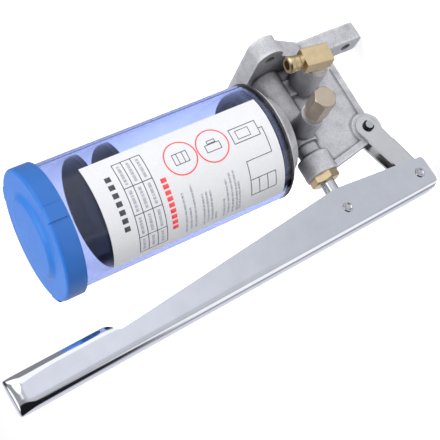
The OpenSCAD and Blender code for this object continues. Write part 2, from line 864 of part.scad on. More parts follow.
// Rivet through the lever at a point in [y, z], with a low dimpled head on each side.
module lever_rivet(at) {
    half = lever_half + set_play;
    color(steel_grey) difference() {
        union() {
            round_x(at, rivet_r, -half - tiny, half + tiny);
            for (side = [-1, 1])
                translate([side * half, at.x, at.y]) rotate([0, 90 * side, 0]) rotate_extrude() polygon([
                    [0, 0], [rivet_head_r, 0], [rivet_head_r - 0.4, rivet_head], [0, rivet_head]
                ]);
        }
        for (side = [-1, 1])
            translate([side * (half + rivet_head), at.x, at.y]) rotate([0, 90 * side, 0])
                translate([0, 0, -rivet_dimple]) cylinder(r1 = rivet_r - 1.4, r2 = rivet_r - 0.6, h = rivet_dimple + tiny);
    }
}

module lever_rivet_link() {
    lever_rivet(pivot_b);
}

module lever_rivet_plunger() {
    lever_rivet(pivot_c);
}

pump_body();
reservoir_tube();
base_gasket();
spigot_o_ring();
label();
reservoir_cap();
follower();
gland_nut();
gland_packing();
gland_washer();
plunger_rod();
side_plug();
side_plug_washer();
outlet_elbow();
check_ball();
check_spring();
link();
link_pin();
link_circlips();
lever();
lever_rivet_link();
lever_rivet_plunger();
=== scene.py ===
"""Hand grease pump: finishes, the printed label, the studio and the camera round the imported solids.

The pump's own frame has +X to the outlet, +Y into the wall and +Z up to the cap.
Lengths are in metres, or in mm where a comment says so.
"""

import bmesh
import bpy
import numpy as np
from mathutils import Matrix
from mathutils import Vector


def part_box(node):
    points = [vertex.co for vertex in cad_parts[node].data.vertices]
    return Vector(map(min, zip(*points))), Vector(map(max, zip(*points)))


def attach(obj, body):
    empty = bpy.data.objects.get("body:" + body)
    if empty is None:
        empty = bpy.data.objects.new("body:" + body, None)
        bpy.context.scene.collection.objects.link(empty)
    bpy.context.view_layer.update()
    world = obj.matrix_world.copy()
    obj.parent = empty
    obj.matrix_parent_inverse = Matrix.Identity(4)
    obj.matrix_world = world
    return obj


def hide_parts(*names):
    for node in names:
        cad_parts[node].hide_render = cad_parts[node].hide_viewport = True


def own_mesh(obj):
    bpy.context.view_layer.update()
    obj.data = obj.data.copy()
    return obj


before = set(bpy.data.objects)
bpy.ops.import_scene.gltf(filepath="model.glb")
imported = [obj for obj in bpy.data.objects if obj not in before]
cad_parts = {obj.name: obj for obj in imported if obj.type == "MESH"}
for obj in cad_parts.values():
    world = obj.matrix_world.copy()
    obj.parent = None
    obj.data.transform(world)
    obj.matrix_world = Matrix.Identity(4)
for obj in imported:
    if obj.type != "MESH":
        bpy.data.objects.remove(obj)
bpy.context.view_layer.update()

MM = 0.001

# The view: the camera's right, down and forward axes, its place and its lens on a 36 mm sensor.
VIEW_RIGHT = Vector((0.24792525, -0.48833310, -0.83669818))
VIEW_DOWN = Vector((-0.38533139, -0.84211265, 0.37731420))
VIEW_AHEAD = Vector((-0.88884914, 0.22886036, -0.39695106))
VIEW_FROM = Vector((0.550564, -0.227530, 0.317706))
VIEW_LENS = 84.735

# The room's round screens, each mixed over the ones before it: its direction, the cosines of the angles from
# that direction at which it starts and is complete, and its colour. The lit ones at the end form an arch.
ROOM_GREY = (0.34, 0.345, 0.36)
ROOM_SCREENS = (
    ((0.92, 0.15, -0.35), 0.35, 0.80, (0.62, 0.635, 0.68)),
    ((0.98, 0.19, -0.05), 0.90, 0.98, (0.84, 0.86, 0.93)),
    ((-0.95, -0.20, -0.23), 0.45, 0.85, (0.76, 0.76, 0.86)),
    ((-0.10, 0.97, -0.20), 0.60, 0.85, (0.28, 0.28, 0.30)),
    ((0.27, -0.87, -0.42), 0.93, 0.965, (1.1, 1.1, 1.12)),
    ((0.10, -0.85, 0.50), 0.595, 0.645, (0.012, 0.012, 0.015)),
    ((-0.20, 0.62, 0.76), 0.90, 0.95, (0.05, 0.05, 0.06)),
    ((-0.05, 0.08, 0.99), 0.945, 0.975, (1.6, 1.6, 1.6)),
    ((0.76, 0.513, -0.397), 0.962, 0.972, (1.1, 1.1, 1.1)),
    ((0.62, 0.68, 0.00), 0.935, 0.955, (1.2, 1.2, 1.2)),
    ((0.45, 0.75, 0.40), 0.935, 0.955, (1.7, 1.7, 1.7)),
    ((0.68, 0.42, 0.60), 0.945, 0.965, (1.7, 1.7, 1.7)),
)
FLOOR_HEIGHT = -0.0822

# The reservoir stands on a vertical axis in front of the wall face. The gap in the print is in mm.
TUBE_AXIS = np.array((0.0, -0.050))
LABEL_FACE = 38.24 * MM
INK_LIFT = 0.03 * MM
INK_FILM = 0.02 * MM
INK_GAP = 0.02

# The lever, in mm in its own frame: u along it from the rivet at the plunger, v towards the wall.
LEVER_PIVOT = (-113.7, -3.3)
LEVER_TILT = np.radians(2.75)
LEVER_FOOT = -66.65
LEVER_END = 232.3
LEVER_HALF = 8.3
LEVER_SHEET = 2.3
LEVER_BACK = -14.6
LEVER_BEND = 6.0
LEVER_CREST = 14.0
LEVER_TOE = 6.5
LEVER_CORNER = 5.0
GRIP_START = 163.8
GRIP_THROAT = 0.2
GRIP_FRONT = 7.2
GRIP_BEND = 6.5
GRIP_LIP = 1.2
TOE_ROUND = 14.0

# The stretches before the lever's end, in mm.
# The last three are how far the walls draw in, the flat dips and its foot rises there.
GRIP_NOSE = 10.0
GRIP_TAPER = 46.0
GRIP_HEEL = 14.0
GRIP_DRAW = 4.4
GRIP_DIP = 6.0
GRIP_HEEL_RISE = 1.6

# The cap, in mm: its wall and bore radii, its top's thickness, its edge radii, how far its middle is raised
# and the radii between which that falls away, and how far its lugs stand out.
CAP_WALL = 40.6
CAP_BORE = 38.3
CAP_TOP = 3.5
CAP_EDGE = 2.0
CAP_FOOT_EDGE = 0.6
CAP_RISE = 2.5
CAP_SHOULDER = (22.4, 27.6)
CAP_LUG = 1.3

# The cap's lugs, in degrees: half their arc, and the angles from their middle between which the step fades.
CAP_LUG_HALF = 6.75
CAP_LUG_FADE = (6.3, 7.2)

# Axes of the two ports that lie along X, in mm: their y and z.
SIDE_PORT = (-56.2, -5.5)
OUTLET_PORT = (-26.5, -25.0)

# The casting's skin: its box is this share of a grid of 256 steps.
# Its inner corners get fillets in this many rounds, where the mean is this far outside (mm).
# The last is the size of one wave of its unevenness (mm).
SKIN_SHARE = 0.6
FILLET_ROUNDS = 5
FILLET_START = 0.022
SKIN_RIPPLE = 0.008


# The camera, the room and the lamps.

def set_camera():
    """A camera whose columns are right, up and backward, at the view's place and lens."""
    lens = bpy.data.cameras.new("camera")
    lens.sensor_fit = "HORIZONTAL"
    lens.sensor_width = 36.0
    lens.lens = VIEW_LENS
    lens.clip_start = 0.01
    lens.clip_end = 20.0
    camera = bpy.data.objects.new("camera", lens)
    turn = Matrix((VIEW_RIGHT, -VIEW_DOWN, -VIEW_AHEAD)).transposed()
    camera.matrix_world = Matrix.Translation(VIEW_FROM) @ turn.to_4x4()
    bpy.context.scene.collection.objects.link(camera)
    bpy.context.scene.camera = camera


def set_room():
    """A white room to the eye, but grey with paler, darker and lit screens to light and reflections."""
    world = bpy.data.worlds.new("room")
    world.use_nodes = True
    bpy.context.scene.world = world
    tree = world.node_tree
    tree.nodes.clear()
    way = tree.nodes.new("ShaderNodeTexCoord").outputs["Generated"]
    seen = tree.nodes.new("ShaderNodeBackground")
    cast = tree.nodes.new("ShaderNodeBackground")
    path = tree.nodes.new("ShaderNodeLightPath")
    choose = tree.nodes.new("ShaderNodeMixShader")
    out = tree.nodes.new("ShaderNodeOutputWorld")
    shade = None
    for middle, rim, full, colour in ROOM_SCREENS:
        shade = add_screen(tree, way, shade, middle, rim, full, colour)
    tree.links.new(shade, cast.inputs["Color"])
    tree.links.new(path.outputs["Is Camera Ray"], choose.inputs[0])
    tree.links.new(cast.outputs[0], choose.inputs[1])
    tree.links.new(seen.outputs[0], choose.inputs[2])
    tree.links.new(choose.outputs[0], out.inputs["Surface"])
    seen.inputs["Color"].default_value = (1.0, 1.0, 1.0, 1.0)


def add_screen(tree, way, under, middle, rim, full, colour):
    """Mixes a round screen over what is under it, or over the room's grey if there is nothing yet."""
    dot = tree.nodes.new("ShaderNodeVectorMath")
    dot.operation = "DOT_PRODUCT"
    dot.inputs[1].default_value = Vector(middle).normalized()
    tree.links.new(way, dot.inputs[0])
    edge = tree.nodes.new("ShaderNodeMapRange")
    edge.interpolation_type = "SMOOTHSTEP"
    edge.inputs["From Min"].default_value = rim
    edge.inputs["From Max"].default_value = full
    tree.links.new(dot.outputs["Value"], edge.inputs["Value"])
    mix = tree.nodes.new("ShaderNodeMix")
    mix.data_type = "RGBA"
    tree.links.new(edge.outputs["Result"], mix.inputs[0])
    if under is None:
        mix.inputs[6].default_value = (*ROOM_GREY, 1.0)
    else:
        tree.links.new(under, mix.inputs[6])
    mix.inputs[7].default_value = (*colour, 1.0)
    return mix.outputs[2]


def set_lamp(name, right, up, front, size, watts):
    """A square soft lamp that isn't mirrored, placed from the pump's middle by the picture's right and up.

    The third measure of its place is towards the eye.
    """
    middle = Vector((0.0, -0.060, 0.060))
    place = middle + VIEW_RIGHT * right - VIEW_DOWN * up - VIEW_AHEAD * front
    light = bpy.data.lights.new(name, "AREA")
    light.shape = "SQUARE"
    light.size = size
    light.energy = watts
    lamp = bpy.data.objects.new(name, light)
    lamp.location = place
    lamp.rotation_euler = (middle - place).to_track_quat("-Z", "Y").to_euler()
    lamp.visible_glossy = False
    bpy.context.scene.collection.objects.link(lamp)


# Finishes. Every pattern is on Object coordinates, in metres.

def set_stops(ramp, stops):
    """Replaces a colour ramp's stops by (place, colour) pairs."""
    while len(ramp.color_ramp.elements) > 1:
        ramp.color_ramp.elements.remove(ramp.color_ramp.elements[0])
    ramp.color_ramp.elements[0].position = stops[0][0]
    ramp.color_ramp.elements[0].color = stops[0][1]
    for at, colour in stops[1:]:
        ramp.color_ramp.elements.new(at).color = colour


def new_finish(name, colour, metal, rough):
    """A finish with its uniform values on the shader's own sockets."""
    finish = bpy.data.materials.new(name)
    finish.use_nodes = True
    tree = finish.node_tree
    shader = tree.nodes["Principled BSDF"]
    shader.inputs["Base Color"].default_value = (*colour, 1.0)
    shader.inputs["Metallic"].default_value = metal
    shader.inputs["Roughness"].default_value = rough
    return finish, tree, shader


def where(tree, stretch=(1.0, 1.0, 1.0)):
    """Object coordinates, stretched."""
    coords = tree.nodes.new("ShaderNodeTexCoord")
    mapping = tree.nodes.new("ShaderNodeMapping")
    mapping.inputs["Scale"].default_value = stretch
    tree.links.new(coords.outputs["Object"], mapping.inputs["Vector"])
    return mapping.outputs["Vector"]


def grain(tree, place, per_metre, detail=3.0):
    """Cloudy noise with about per_metre cells in a metre."""
    noise = tree.nodes.new("ShaderNodeTexNoise")
    noise.inputs["Scale"].default_value = per_metre
    noise.inputs["Detail"].default_value = detail
    tree.links.new(place, noise.inputs["Vector"])
    return noise.outputs["Fac"]


def graded(tree, factor, stops):
    """A colour from a factor through (place, colour) stops."""
    ramp = tree.nodes.new("ShaderNodeValToRGB")
    set_stops(ramp, [(at, (*colour, 1.0)) for at, colour in stops])
    tree.links.new(factor, ramp.inputs["Fac"])
    return ramp.outputs["Color"]


def tint(tree, factor, stops, socket):
    """Colours a socket from a factor through (place, colour) stops."""
    tree.links.new(graded(tree, factor, stops), socket)


def spread(tree, factor, low, high, socket):
    """Spreads a factor between two values on a socket."""
    span = tree.nodes.new("ShaderNodeMapRange")
    span.inputs["To Min"].default_value = low
    span.inputs["To Max"].default_value = high
    tree.links.new(factor, span.inputs["Value"])
    tree.links.new(span.outputs["Result"], socket)


def relief(tree, shader, height, depth, strength):
    """Adds a bump of a given depth."""
    bump = tree.nodes.new("ShaderNodeBump")
    bump.inputs["Strength"].default_value = strength
    bump.inputs["Distance"].default_value = depth
    tree.links.new(height, bump.inputs["Height"])
    tree.links.new(bump.outputs["Normal"], shader.inputs["Normal"])


def multiply(tree, one, other):
    """One colour times another."""
    mix = tree.nodes.new("ShaderNodeMix")
    mix.data_type = "RGBA"
    mix.blend_type = "MULTIPLY"
    mix.inputs[0].default_value = 1.0
    tree.links.new(one, mix.inputs[6])
    tree.links.new(other, mix.inputs[7])
    return mix.outputs[2]


def cast_aluminium():
    """Shot-blasted casting: cloudy greys with a fine grain.

    It has painted shade in recesses, by the crease attribute and by how open it stands, and paler outer
    edges.
    It also has painted shade inside the reservoir, by its height.
    """
    finish, tree, shader = new_finish("cast_aluminium", (0.60, 0.60, 0.62), 0.6, 0.5)
    place = where(tree)
    clouds = graded(tree, grain(tree, place, 110.0, 5.0), (
        (0.28, (0.42, 0.42, 0.44)),
        (0.50, (0.54, 0.54, 0.56)),
        (0.75, (0.60, 0.60, 0.62)),
    ))
    # Painted shade in the inner corners, set by the crease attribute, and paler outer edges.
    crease = tree.nodes.new("ShaderNodeAttribute")
    crease.attribute_name = "crease"
    crease_shade_and_pale_edges = graded(tree, crease.outputs["Fac"], (
        (0.05, (1.15, 1.15, 1.15)),
        (0.40, (1.0, 1.0, 1.0)),
        (0.55, (1.0, 1.0, 1.0)),
        (0.95, (0.35, 0.35, 0.36)),
    ))
    # Painted shade where the casting is shut in by itself, read from ambient occlusion.
    open_air = tree.nodes.new("ShaderNodeAmbientOcclusion")
    open_air.samples = 12
    open_air.only_local = True
    open_air.inputs["Distance"].default_value = 35.0 * MM
    occlusion_shade = graded(tree, open_air.outputs["AO"], (
        (0.20, (0.26, 0.26, 0.28)),
        (0.48, (0.74, 0.74, 0.75)),
        (0.82, (1.0, 1.0, 1.0)),
    ))
    speckle = graded(tree, grain(tree, place, 850.0, 2.0), (
        (0.30, (0.84, 0.84, 0.85)),
        (0.55, (1.0, 1.0, 1.0)),
        (0.75, (1.06, 1.06, 1.06)),
    ))
    # Painted shade inside the reservoir: the spigot and seat darken above a height.
    height = tree.nodes.new("ShaderNodeSeparateXYZ")
    tree.links.new(place, height.inputs["Vector"])
    film = tree.nodes.new("ShaderNodeMapRange")
    film.inputs["From Min"].default_value = 22.9 * MM
    film.inputs["From Max"].default_value = 24.0 * MM
    tree.links.new(height.outputs["Z"], film.inputs["Value"])
    reservoir_shade = graded(tree, film.outputs["Result"], ((0.0, (1.0, 1.0, 1.0)), (1.0, (0.26, 0.25, 0.27))))
    skin = clouds
    for layer in (crease_shade_and_pale_edges, occlusion_shade, speckle, reservoir_shade):
        skin = multiply(tree, skin, layer)
    tree.links.new(skin, shader.inputs["Base Color"])
    spread(tree, grain(tree, place, 420.0), 0.42, 0.6, shader.inputs["Roughness"])
    relief(tree, shader, grain(tree, place, 1300.0, 2.0), 0.10 * MM, 0.4)
    return finish


def clear_tube():
    """Clear plastic with a blue tint."""
    finish, tree, shader = new_finish("clear_tube", (0.97, 0.98, 1.0), 0.0, 0.04)
    shader.inputs["Transmission Weight"].default_value = 1.0
    shader.inputs["IOR"].default_value = 1.46
    place = where(tree)
    tint(tree, grain(tree, place, 25.0), ((0.3, (0.95, 0.96, 1.0)), (0.7, (0.99, 0.99, 1.0))),
         shader.inputs["Base Color"])
    spread(tree, grain(tree, place, 60.0), 0.02, 0.06, shader.inputs["Roughness"])
    depth = tree.nodes.new("ShaderNodeVolumeAbsorption")
    depth.inputs["Color"].default_value = (0.21, 0.35, 0.76, 1.0)
    depth.inputs["Density"].default_value = 200.0
    tree.links.new(depth.outputs[0], tree.nodes["Material Output"].inputs["Volume"])
    return finish


def black_rubber():
    """Matte black rubber with a slight bloom."""
    finish, tree, shader = new_finish("black_rubber", (0.03, 0.03, 0.033), 0.0, 0.6)
    place = where(tree)
    tint(tree, grain(tree, place, 220.0), ((0.35, (0.022, 0.022, 0.025)), (0.75, (0.05, 0.05, 0.055))),
         shader.inputs["Base Color"])
    relief(tree, shader, grain(tree, place, 700.0, 2.0), 0.05 * MM, 0.3)
    return finish


def label_film():
    """Silvery white film with a faint grain."""
    finish, tree, shader = new_finish("label_film", (0.50, 0.505, 0.52), 0.0, 0.38)
    place = where(tree)
    tint(tree, grain(tree, place, 900.0), ((0.3, (0.485, 0.49, 0.505)), (0.7, (0.515, 0.52, 0.535))),
         shader.inputs["Base Color"])
    spread(tree, grain(tree, place, 50.0), 0.32, 0.44, shader.inputs["Roughness"])
    return finish


def print_ink(name, colour):
    """Ink on the label, a little uneven."""
    finish, tree, shader = new_finish(name, colour, 0.0, 0.45)
    dim = tuple(0.82 * c for c in colour)
    lit = tuple(min(1.0, 1.12 * c) for c in colour)
    tint(tree, grain(tree, where(tree), 800.0), ((0.3, dim), (0.7, lit)), shader.inputs["Base Color"])
    return finish


def blue_plastic():
    """Satin moulded plastic."""
    finish, tree, shader = new_finish("blue_plastic", (0.020, 0.102, 0.34), 0.0, 0.38)
    shader.inputs["Specular IOR Level"].default_value = 0.3
    place = where(tree)
    tint(tree, grain(tree, place, 60.0), ((0.3, (0.018, 0.096, 0.33)), (0.7, (0.022, 0.108, 0.35))),
         shader.inputs["Base Color"])
    spread(tree, grain(tree, place, 300.0), 0.32, 0.42, shader.inputs["Roughness"])
    relief(tree, shader, grain(tree, place, 1800.0, 2.0), 0.03 * MM, 0.25)
    return finish


def turned_brass(name, colour, along, pitch):
    """Turned brass: fine tool lines across one axis and a slight tarnish."""
    finish, tree, shader = new_finish(name, colour, 1.0, 0.32)
    place = where(tree)
    dim = tuple(0.94 * c for c in colour)
    lit = tuple(min(1.0, 1.04 * c) for c in colour)
    tint(tree, grain(tree, place, 260.0), ((0.3, dim), (0.7, lit)), shader.inputs["Base Color"])
    spread(tree, grain(tree, place, 500.0), 0.28, 0.38, shader.inputs["Roughness"])
    lines = tree.nodes.new("ShaderNodeTexWave")
    lines.bands_direction = along
    lines.inputs["Scale"].default_value = 2.0 * np.pi / (20.0 * pitch)
    lines.inputs["Distortion"].default_value = 0.6
    tree.links.new(place, lines.inputs["Vector"])
    relief(tree, shader, lines.outputs["Fac"], 0.02 * MM, 0.5)
    return finish


def ground_steel(name, colour, rough):
    """Ground steel with a faint uneven polish."""
    finish, tree, shader = new_finish(name, colour, 1.0, rough)
    place = where(tree)
    dim = tuple(0.9 * c for c in colour)
    tint(tree, grain(tree, place, 300.0), ((0.3, dim), (0.7, colour)), shader.inputs["Base Color"])
    spread(tree, grain(tree, place, 700.0), 0.8 * rough, 1.25 * rough, shader.inputs["Roughness"])
    return finish


def plated_sheet(name, colour, rough):
    """Plating on pressed sheet, with faint drawing lines along the lever."""
    finish, tree, shader = new_finish(name, colour, 1.0, rough)
    place = where(tree)
    dim = tuple(0.96 * c for c in colour)
    lit = tuple(1.02 * c for c in colour)
    tint(tree, grain(tree, place, 90.0), ((0.3, dim), (0.7, lit)), shader.inputs["Base Color"])
    spread(tree, grain(tree, where(tree, (1.0, 1.0, 0.12)), 900.0), 0.8 * rough, 1.3 * rough,
           shader.inputs["Roughness"])
    relief(tree, shader, grain(tree, place, 160.0, 1.0), 0.05 * MM, 0.08)
    return finish


def dress(finish, *nodes):
    """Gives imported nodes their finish."""
    for node in nodes:
        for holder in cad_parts[node].material_slots:
            holder.material = finish


# Label print: flat shapes in the unrolled film's own two measures, bent round the tube.

def ink_band(turn_low, turn_high, z_low, z_high):
    """A rectangle between two angles (degrees) and two heights (mm), as a grid of angle by height."""
    steps = int(np.ceil(abs(turn_high - turn_low) / 1.5)) + 1
    turn = np.radians(np.linspace(turn_low, turn_high, steps))
    rise = np.array((z_low, z_high)) * MM
    return np.meshgrid(turn, rise, indexing="ij") + [False]


def ink_ring(turn_mid, z_mid, radius, line):
    """A ring in the unrolled film: a grid of the angle round the ring by its inner and outer radius (mm)."""
    round_it = np.linspace(0.0, 2.0 * np.pi, 72, endpoint=False)
    reach = np.array((radius - line / 2.0, radius + line / 2.0)) * MM
    spin, out = np.meshgrid(round_it, reach, indexing="ij")
    turn = np.radians(turn_mid) - out * np.cos(spin) / LABEL_FACE
    return [turn, z_mid * MM + out * np.sin(spin), True]


def ink_frame(turn_low, turn_high, z_low, z_high, line):
    """Four bands round a rectangle, a hair apart at its corners, with a line of the given width (mm)."""
    side = np.degrees(line * MM / LABEL_FACE)
    return [
        ink_band(turn_low, turn_high, z_low, z_low + line),
        ink_band(turn_low, turn_high, z_high - line, z_high),
        ink_band(turn_low, turn_low + side, z_low + line + INK_GAP, z_high - line - INK_GAP),
        ink_band(turn_high - side, turn_high, z_low + line + INK_GAP, z_high - line - INK_GAP),
    ]


def ink_words(turn_low, turn_high, z_mid, height, seed):
    """A row of short bars of uneven length that fills a line, as set type looks from afar."""
    chance = np.random.default_rng(seed)
    cuts = np.cumsum(chance.uniform(2.0, 7.0, 40))
    cuts = turn_low + cuts[cuts < turn_high - turn_low - 1.0]
    edges = np.concatenate(((turn_low,), cuts, (turn_high,)))
    z_low = z_mid - height / 2.0
    z_high = z_mid + height / 2.0
    return [ink_band(a, b - 0.7, z_low, z_high) for a, b in zip(edges[:-1], edges[1:])]


def print_label(name, patches, finish):
    """Bends (angle, height) grids round the tube at the film's face and gives them an ink's thickness."""
    corners = []
    faces = []
    count = 0
    reach = LABEL_FACE + INK_LIFT
    for turn, rise, closed in patches:
        x = TUBE_AXIS[0] + reach * np.cos(turn)
        y = TUBE_AXIS[1] + reach * np.sin(turn)
        spot = np.stack((x, y, rise), axis=-1)
        rows, columns = turn.shape
        index = count + np.arange(rows * columns).reshape(rows, columns)
        if closed:
            index = np.vstack((index, index[:1]))
        corners.append(spot.reshape(-1, 3))
        faces += grid_faces(index)
        count += rows * columns
    mesh = bpy.data.meshes.new(name)
    mesh.from_pydata(np.concatenate(corners), [], faces)
    mesh.polygons.foreach_set("use_smooth", np.ones(len(mesh.polygons), dtype=bool))
    mesh.materials.append(finish)
    piece = bpy.data.objects.new(name, mesh)
    bpy.context.scene.collection.objects.link(piece)
    film = piece.modifiers.new("ink_film", "SOLIDIFY")
    film.thickness = INK_FILM
    film.offset = -1.0
    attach(piece, "housing")


def make_print():
    """The label's print: a heading, an empty table, lines, two rings and a plain pipe sketch."""
    dark = [ink_band(turn, turn + 4.6, 133.6, 137.2) for turn in np.linspace(-45.5, -0.7, 7)]
    table = (-73.6, -56.1, -34.9, -10.9, 12.6)
    rule = 0.5
    for z in (129.4, 123.75, 117.75, 111.5):
        dark.append(ink_band(table[0], table[-1], z - rule / 2.0, z + rule / 2.0))
    for turn in table:
        half = np.degrees(rule * MM / LABEL_FACE) / 2.0
        dark.append(ink_band(turn - half, turn + half, 111.5, 129.4))
    grey = []
    for row, z in enumerate((126.6, 120.7, 114.6)):
        for column in range(4):
            grey += ink_words(table[column] + 2.5, table[column + 1] - 2.0, z, 1.8, 10 * row + column)
    lines = (
        (98.5, -74.2, -31.8), (95.4, -71.8, -47.4), (92.2, -72.4, -28.0), (86.5, -74.2, -39.9),
        (83.8, -72.4, -39.2), (81.1, -72.4, -39.2), (78.5, -72.4, -63.6), (72.9, -74.9, -53.0),
        (70.0, -72.4, -35.5), (66.9, -73.6, -31.8), (64.0, -74.2, -31.1), (61.9, -73.6, -42.4),
    )
    for number, (z, low, high) in enumerate(lines):
        grey += ink_words(low, high, z, 1.25, 40 + number)
    red = [ink_band(turn, turn + 3.9, 104.2, 107.8) for turn in np.linspace(-63.0, -18.6, 9)]
    red += [ink_ring(-4.6, 90.6, 10.0, 0.8), ink_ring(-5.1, 69.4, 10.0, 0.8)]
    dark += ink_frame(-64.3, -47.4, 35.6, 53.75, 0.5)
    dark += [ink_band(-64.3, -47.4, z, z + 0.5) for z in (41.5, 47.5)]
    dark += ink_frame(-12.4, 2.0, 38.1, 56.5, 0.5) + ink_frame(-9.4, -1.0, 44.0, 53.0, 0.4)
    dark += [
        ink_band(-47.4, -29.9, 53.2, 53.7),
        ink_band(-30.3, -29.6, 35.6, 53.7),
        ink_band(-29.9, -6.5, 35.4, 35.9),
        ink_band(-6.8, -6.1, 35.4, 38.3),
    ]
    dark += ink_frame(-9.9, 0.6, 85.8, 95.4, 0.45)
    dark += [ink_band(-9.9, 0.6, z, z + 0.45) for z in (88.6, 92.2)]
    dark += ink_frame(-10.2, -3.0, 64.4, 74.4, 0.45) + ink_frame(-2.9, 0.4, 66.6, 72.2, 0.45)
    print_label("label_print_dark", dark, print_ink("ink_dark", (0.05, 0.05, 0.06)))
    print_label("label_print_grey", grey, print_ink("ink_grey", (0.32, 0.33, 0.37)))
    print_label("label_print_red", red, print_ink("ink_red", (0.72, 0.05, 0.06)))


# Shapes.

def ease(low, high, at):
    """0 before low, 1 after high and a smooth cubic rise between."""
    t = np.clip((at - low) / (high - low), 0.0, 1.0)
    return t * t * (3.0 - 2.0 * t)


def round_off(past, radius):
    """How far a quarter circle falls away at a distance past its start."""
    t = np.clip(past, 0.0, radius)
    return radius - np.sqrt(radius * radius - t * t)


def shell_piece(name, corners, faces, body, finish, sharp):
    """A mesh piece: doubles merged, faces turned outward, smooth below a sharp angle (degrees)."""
    mesh = bpy.data.meshes.new(name)
    mesh.from_pydata(corners, [], faces)
    work = bmesh.new()
    work.from_mesh(mesh)
    bmesh.ops.remove_doubles(work, verts=work.verts, dist=1e-7)
    bmesh.ops.recalc_face_normals(work, faces=work.faces)
    work.to_mesh(mesh)
    work.free()
    mesh.polygons.foreach_set("use_smooth", np.ones(len(mesh.polygons), dtype=bool))
    mesh.set_sharp_from_angle(angle=np.radians(sharp))
    mesh.materials.append(finish)
    piece = bpy.data.objects.new(name, mesh)
    bpy.context.scene.collection.objects.link(piece)
    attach(piece, body)
    return piece


def grid_faces(index):
    """Quads between neighbouring rows and columns of an index grid."""
    quads = np.stack((index[:-1, :-1], index[1:, :-1], index[1:, 1:], index[:-1, 1:]), axis=-1)
    return quads.reshape(-1, 4).tolist()


def lever_edge(u):
    """Front edge of the channel: two slopes that meet in a rounded crest."""
    rise = (LEVER_CREST - LEVER_TOE) / -LEVER_FOOT
    fall = (LEVER_CREST - GRIP_THROAT) / GRIP_START
    join = 5.9
    t = np.clip((u + join) / (2.0 * join), 0.0, 1.0)
    crest = LEVER_CREST - join * ((1.0 - t) ** 2 * rise + t ** 2 * fall)
    slope = np.where(u < 0.0, LEVER_CREST + rise * u, LEVER_CREST - fall * u)
    return np.where(np.abs(u) < join, crest, slope)


def last_part(u, length):
    """How far u has gone through the lever's last stretch of a given length, from 0 to 1."""
    return np.clip((u - (LEVER_END - length)) / length, 0.0, 1.0)


def lever_section(u, inset):
    """The sheet's outline at each u, drawn in by inset and mirrored in x = 0.

    It is a web, a back bend, a wall and a front curl. The bends are quarter ellipses.
    In the channel the curl has no angle yet. Over the grip it opens to a quarter turn.
    Towards the end the bends grow by powers of the way gone, and the walls draw in to a narrow lip.
    """
    lip = round_off(u - (LEVER_END - GRIP_LIP), GRIP_LIP)
    half = LEVER_HALF - GRIP_DRAW * last_part(u, GRIP_NOSE) ** 2.5 - lip
    back = LEVER_BACK + lip
    front = GRIP_FRONT - lip
    flat_top = GRIP_FRONT - GRIP_BEND - GRIP_DIP * last_part(u, GRIP_TAPER) ** 3
    flat_foot = LEVER_BACK + LEVER_BEND + GRIP_HEEL_RISE * last_part(u, GRIP_HEEL) ** 2
    grip = ease(GRIP_START - 2.5, GRIP_START + 8.0, u)
    wall_top = lever_edge(u) * (1.0 - grip) + flat_top * grip
    curl = 0.5 * np.pi * ease(GRIP_START - 1.5, GRIP_START + 10.0, u)
    curl_x = half * GRIP_BEND / LEVER_HALF - inset
    curl_v = np.where(u > GRIP_START + 10.0, front - wall_top, GRIP_FRONT - flat_top) - inset
    bend_x = half * LEVER_BEND / LEVER_HALF - inset
    bend_v = flat_foot - back - inset
    half = half - inset
    back = back + inset
    part = np.linspace(0.0, 1.0, 5)[:-1]
    web = (half - bend_x)[:, None] * part
    turn = np.linspace(0.0, 0.5 * np.pi, 13)
    bent_x = (half - bend_x)[:, None] + bend_x[:, None] * np.sin(turn)
    bent_v = back[:, None] + bend_v[:, None] * (1.0 - np.cos(turn))
    part = np.linspace(0.0, 1.0, 9)[1:]
    wall_v = flat_foot[:, None] + (wall_top - flat_foot)[:, None] * part
    turn = curl[:, None] * np.linspace(0.0, 1.0, 15)[1:]
    curl_at = (half - curl_x)[:, None] + curl_x[:, None] * np.cos(turn)
    rise = wall_top[:, None] + curl_v[:, None] * np.sin(turn)
    x = np.hstack((web, bent_x, np.repeat(half[:, None], 8, axis=1), curl_at))
    v = np.hstack((np.repeat(back[:, None], 4, axis=1), bent_v, wall_v, rise))
    return np.hstack((-x[:, :0:-1], x)), np.hstack((v[:, :0:-1], v))


def lever_points(u, inset):
    """The section's points turned by the lever's tilt about its pivot, in metres.

    Close to the foot the rows are moved along so that the cut across the toe gets round corners.
    """
    x, v = lever_section(u, inset)
    corner = round_off(LEVER_BACK + LEVER_CORNER - v, LEVER_CORNER) + round_off(v - LEVER_TOE + 2.5, 3.0)
    along = u[:, None] + corner * (1.0 - ease(LEVER_FOOT, LEVER_FOOT + TOE_ROUND, u))[:, None]
    y = LEVER_PIVOT[0] + v * np.cos(LEVER_TILT) - along * np.sin(LEVER_TILT)
    z = LEVER_PIVOT[1] + v * np.sin(LEVER_TILT) + along * np.cos(LEVER_TILT)
    return np.stack((x, y, z), axis=-1) * MM


